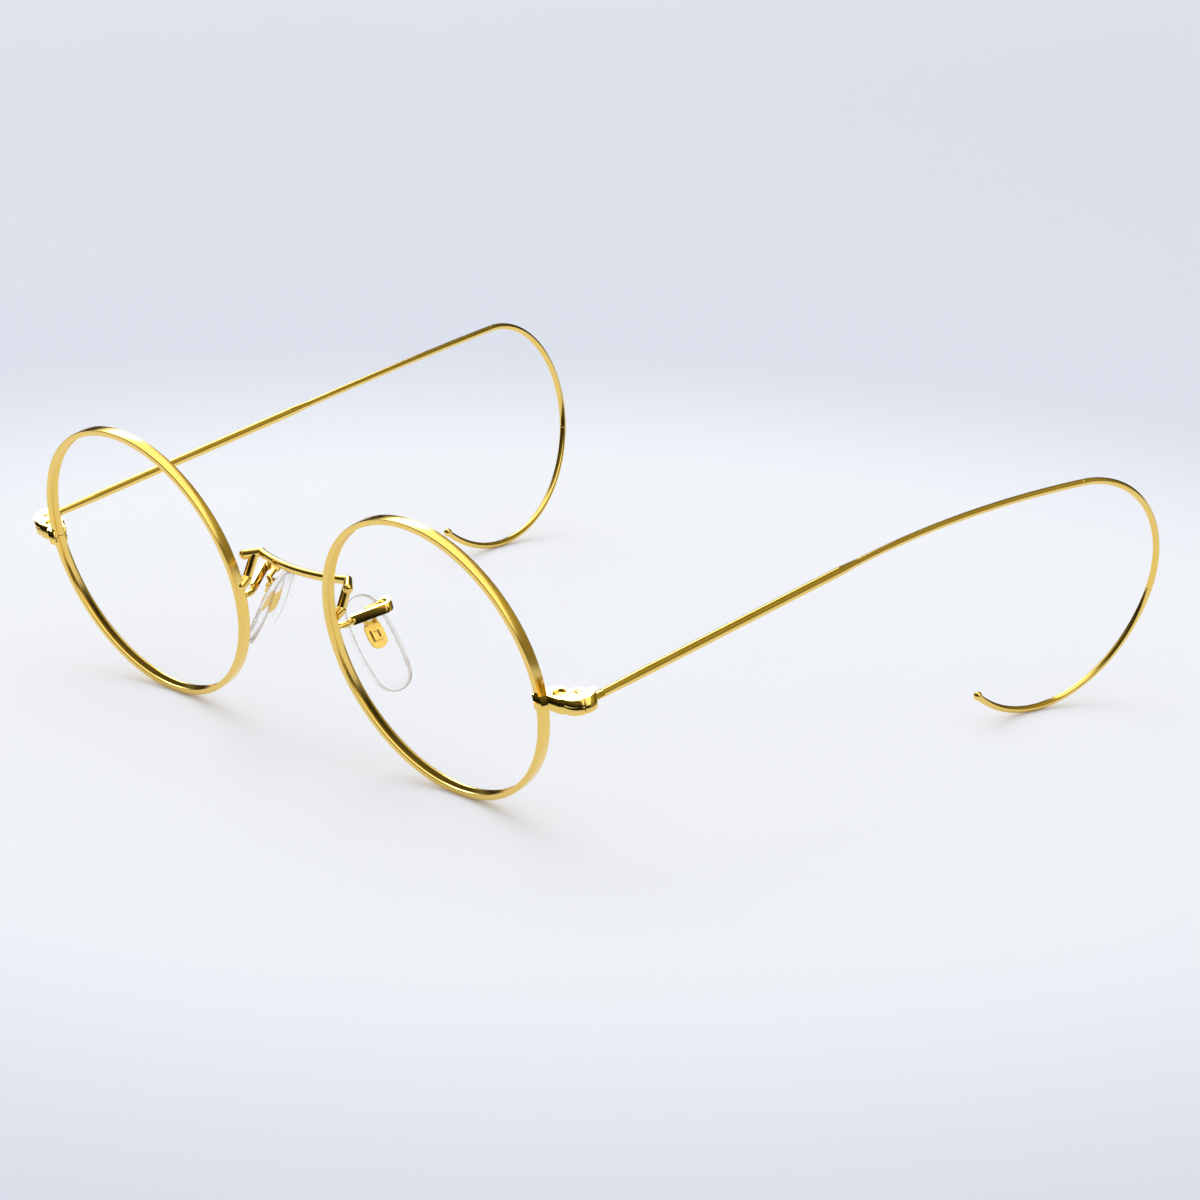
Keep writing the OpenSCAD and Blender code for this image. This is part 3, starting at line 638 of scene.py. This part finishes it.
class SPECTACLES_OT_stage(bpy.types.Operator):
    """Sets the pale floor, the soft lamp, the room and the camera"""
    bl_idname = "spectacles.stage"
    bl_label = "Stage"

    def execute(self, context):
        bpy.ops.object.select_all(action="DESELECT")
        bpy.ops.mesh.primitive_plane_add(size=1, location=(0, 0, 0))
        floor = context.active_object
        floor.name = "studio_floor"
        edit(floor)
        bpy.ops.mesh.subdivide(number_cuts=3)
        bpy.ops.transform.resize(value=(FLOOR_WIDTH, FLOOR_WIDTH, 1))
        bpy.ops.object.mode_set(mode="OBJECT")
        floor.data.materials.append(floor_material())
        self.lamp(context)
        context.scene.world = self.room()
        self.camera(context)
        return {"FINISHED"}

    def lamp(self, context):
        """One broad lamp overhead. The metal mirrors the room's panel in its place."""
        data = bpy.data.lights.new("soft_overhead", "AREA")
        data.shape = "RECTANGLE"
        data.size, data.size_y = 2.6, 2.6
        data.energy = 27
        lamp = bpy.data.objects.new("soft_overhead", data)
        lamp.location = (-1.9, 0.6, 1.51)
        aim = Vector((0, 0, 0.02)) - lamp.location
        lamp.rotation_euler = aim.to_track_quat("-Z", "Y").to_euler()
        lamp.visible_glossy = False
        context.scene.collection.objects.link(lamp)

    def room(self):
        """A pale, even room. Polished metal mirrors a dim horizon in it, a broad panel overhead and a bright
        patch in the panel, which the flat tops of the joint blocks turn towards the camera."""
        world = bpy.data.worlds.new("studio_room")
        world.use_nodes = True
        tree = world.node_tree
        even = tree.nodes["Background"]
        even.inputs["Color"].default_value = (0.95, 0.97, 1, 1)
        even.inputs["Strength"].default_value = 0.865
        way = tree.nodes.new("ShaderNodeTexCoord").outputs["Generated"]
        # x, y and z are the parts of the direction that a ray leaves in
        parts = tree.nodes.new("ShaderNodeSeparateXYZ")
        tree.links.new(way, parts.inputs["Vector"])
        x, y, z = parts.outputs
        dim = self.mirrored(tree, self.horizon(tree, x, y, z), (1, 0.86, 0.3, 1))
        broad = self.mirrored(tree, self.panel(tree, x, y, z), (1, 1, 0.97, 1))
        bright = self.mirrored(tree, self.patch(tree, way), (1, 1, 1, 1))
        mirrored = self.added(tree, self.added(tree, dim, broad), bright)
        path = tree.nodes.new("ShaderNodeLightPath")
        only_mirrored = add_math(tree, "SUBTRACT", path.outputs["Is Glossy Ray"], path.outputs["Is Transmission Ray"])
        only_mirrored.node.use_clamp = True
        mix = tree.nodes.new("ShaderNodeMixShader")
        tree.links.new(only_mirrored, mix.inputs["Fac"])
        tree.links.new(even.outputs["Background"], mix.inputs[1])
        tree.links.new(mirrored, mix.inputs[2])
        tree.links.new(mix.outputs["Shader"], tree.nodes["World Output"].inputs["Surface"])
        return world

    def horizon(self, tree, x, y, z):
        """Dim walls, darkest low down and in front, with a paler strip low on the right."""
        walls = product(tree, rise(tree, z, 0.12, 0.95, 0.012, 0.3), rise(tree, y, -0.3, 0.2, 0.5, 1.0))
        strip = product(tree, rise(tree, x, 0.25, 0.6), rise(tree, y, 0.1, 0.35),
                        rise(tree, z, -0.05, 0.08, 0.0, 0.22))
        return add_math(tree, "ADD", walls, strip)

    def panel(self, tree, x, y, z):
        """A panel overhead. Its far edge runs askew, so that the rims mirror it and the sides hardly do."""
        slant = 7.8
        strength = 1.25
        askew = add_math(tree, "ADD", x, product(tree, y, slant))
        return product(tree, rise(tree, askew, 3.0, 3.22, 1.0, 0.0), rise(tree, z, 0.3, 0.45),
                       rise(tree, y, -0.45, -0.1), strength)

    def patch(self, tree, way):
        """A bright round patch, its rim given by the cosine of the angle from its middle."""
        strength = 5.4
        towards = tree.nodes.new("ShaderNodeVectorMath")
        towards.operation = "DOT_PRODUCT"
        towards.inputs[1].default_value = Vector((-0.66, 0.39, 0.65)).normalized()
        tree.links.new(way, towards.inputs[0])
        return rise(tree, towards.outputs["Value"], 0.968, 0.988, 0.0, strength)

    def mirrored(self, tree, strength, colour):
        """A background light of one colour whose strength varies with direction."""
        node = tree.nodes.new("ShaderNodeBackground")
        node.inputs["Color"].default_value = colour
        tree.links.new(strength, node.inputs["Strength"])
        return node.outputs["Background"]

    def added(self, tree, first, second):
        """Two lights together."""
        node = tree.nodes.new("ShaderNodeAddShader")
        tree.links.new(first, node.inputs[0])
        tree.links.new(second, node.inputs[1])
        return node.outputs["Shader"]

    def camera(self, context):
        """The camera fitted to both rims, given in the lens plane's own directions."""
        azimuth = math.radians(49.592)
        elevation = math.radians(27.282)
        roll = math.radians(-10.919)
        back = Vector((math.sin(azimuth) * math.cos(elevation), -math.cos(azimuth) * math.cos(elevation),
                       math.sin(elevation)))
        level = Vector((math.cos(azimuth), math.sin(azimuth), 0))
        upward = back.cross(level)
        right = math.cos(roll) * level + math.sin(roll) * upward
        up = -math.sin(roll) * level + math.cos(roll) * upward
        turn = Matrix((right, up, back)).transposed()
        # from the middle between the rims, along the camera's own right, up and back
        from_middle = Vector((0.048386, 0.001691, 0.662943))
        matrix = turn.to_4x4()
        matrix.translation = turn @ from_middle
        data = bpy.data.cameras.new("studio_camera")
        data.sensor_width = 36
        data.lens = 131.07
        data.clip_start, data.clip_end = 0.01, 50
        camera = bpy.data.objects.new("studio_camera", data)
        camera.matrix_world = LENS_PLANE @ matrix
        context.scene.collection.objects.link(camera)
        context.scene.camera = camera
        context.scene.view_settings.view_transform = "Standard"


class SPECTACLES_PT_panel(bpy.types.Panel):
    """Lists the sizes, the finishes and the steps"""
    bl_label = "Spectacles"
    bl_idname = "SPECTACLES_PT_panel"
    bl_space_type = "VIEW_3D"
    bl_region_type = "UI"
    bl_category = "Spectacles"

    def draw(self, context):
        layout = self.layout
        for group in (context.scene.rim_sizes, context.scene.pad_sizes, context.scene.finishes):
            for key in group.__annotations__:
                layout.prop(group, key)
        for operator in OPERATORS:
            layout.operator(operator.bl_idname)


GROUPS = (RimSizes, PadSizes, Finishes)
OPERATORS = (SPECTACLES_OT_finishes, SPECTACLES_OT_rims, SPECTACLES_OT_pads, SPECTACLES_OT_fittings,
             SPECTACLES_OT_stage)
CLASSES = (*GROUPS, *OPERATORS, SPECTACLES_PT_panel)


def register():
    """Adds the sizes, the steps and the panel."""
    for item in CLASSES:
        bpy.utils.register_class(item)
    bpy.types.Scene.rim_sizes = PointerProperty(type=RimSizes)
    bpy.types.Scene.pad_sizes = PointerProperty(type=PadSizes)
    bpy.types.Scene.finishes = PointerProperty(type=Finishes)


def unregister():
    """Takes the sizes, the steps and the panel away again."""
    del bpy.types.Scene.finishes
    del bpy.types.Scene.pad_sizes
    del bpy.types.Scene.rim_sizes
    for item in reversed(CLASSES):
        bpy.utils.unregister_class(item)


def main():
    """Builds every piece and the studio."""
    register()
    bpy.ops.spectacles.finishes()
    bpy.ops.spectacles.rims()
    bpy.ops.spectacles.pads()
    bpy.ops.spectacles.fittings()
    bpy.ops.spectacles.stage()
    bpy.context.view_layer.update()


if __name__ == "__main__":
    main()
